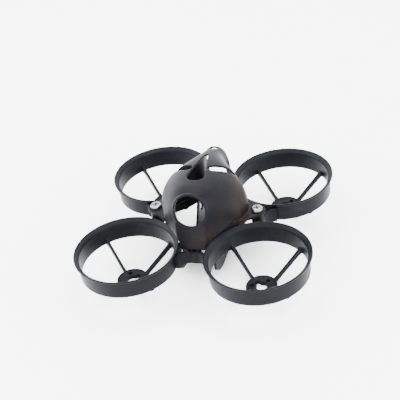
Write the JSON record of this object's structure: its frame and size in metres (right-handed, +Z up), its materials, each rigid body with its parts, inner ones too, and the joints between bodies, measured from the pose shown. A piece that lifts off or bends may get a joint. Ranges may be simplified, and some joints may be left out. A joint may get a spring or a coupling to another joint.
{
  "type": "ducted quadcopter airframe with canopy",
  "caption": "Small ducted racing quadcopter airframe: four ring ducts with spoked motor mounts, battery tray and a domed camera canopy held by screws.",
  "frame": {"origin": "middle of the airframe on the plane of the motor mounts' undersides", "axes": "-Y towards the nose, +X to the right seen from the front, +Z up"},
  "size_m": [0.0824, 0.0824, 0.0338],
  "materials": {
    "frame_plastic": "fine satin texture, black moulded nylon",
    "canopy_plastic": "satin, black moulded plastic",
    "screw_steel": "bright zinc-plated steel"
  },
  "bodies": {
    "frame": {"duct_front_left": "frame_plastic", "duct_front_right": "frame_plastic", "duct_rear_left": "frame_plastic", "duct_rear_right": "frame_plastic", "spokes_front_left": "frame_plastic", "spokes_front_right": "frame_plastic", "spokes_rear_left": "frame_plastic", "spokes_rear_right": "frame_plastic", "motor_mount_front_left": "frame_plastic", "motor_mount_front_right": "frame_plastic", "motor_mount_rear_left": "frame_plastic", "motor_mount_rear_right": "frame_plastic", "bracket_front": "frame_plastic", "bracket_rear": "frame_plastic", "bracket_left": "frame_plastic", "bracket_right": "frame_plastic", "lug_front": "frame_plastic", "lug_rear": "frame_plastic", "lug_left": "frame_plastic", "lug_right": "frame_plastic", "tray_side_left": "frame_plastic", "tray_side_right": "frame_plastic", "tray_strap_front": "frame_plastic", "tray_strap_rear": "frame_plastic"},
    "canopy": {"canopy_shell": "canopy_plastic", "camera_rim": "canopy_plastic", "canopy_ear_left": "canopy_plastic", "canopy_ear_right": "canopy_plastic"},
    "screw_left": {"screw_left": "screw_steel"},
    "screw_right": {"screw_right": "screw_steel"}
  },
  "joints": [
    {"name": "canopy_lift", "type": "slide", "parent": "frame", "child": "canopy", "axis": [0, 0, 1], "range_m": [0, 0.025]},
    {"name": "screw_left_out", "type": "slide", "parent": "canopy", "child": "screw_left", "axis": [0, 0, 1], "range_m": [0, 0.006]},
    {"name": "screw_right_out", "type": "slide", "parent": "canopy", "child": "screw_right", "axis": [0, 0, 1], "range_m": [0, 0.006]}
  ]
}
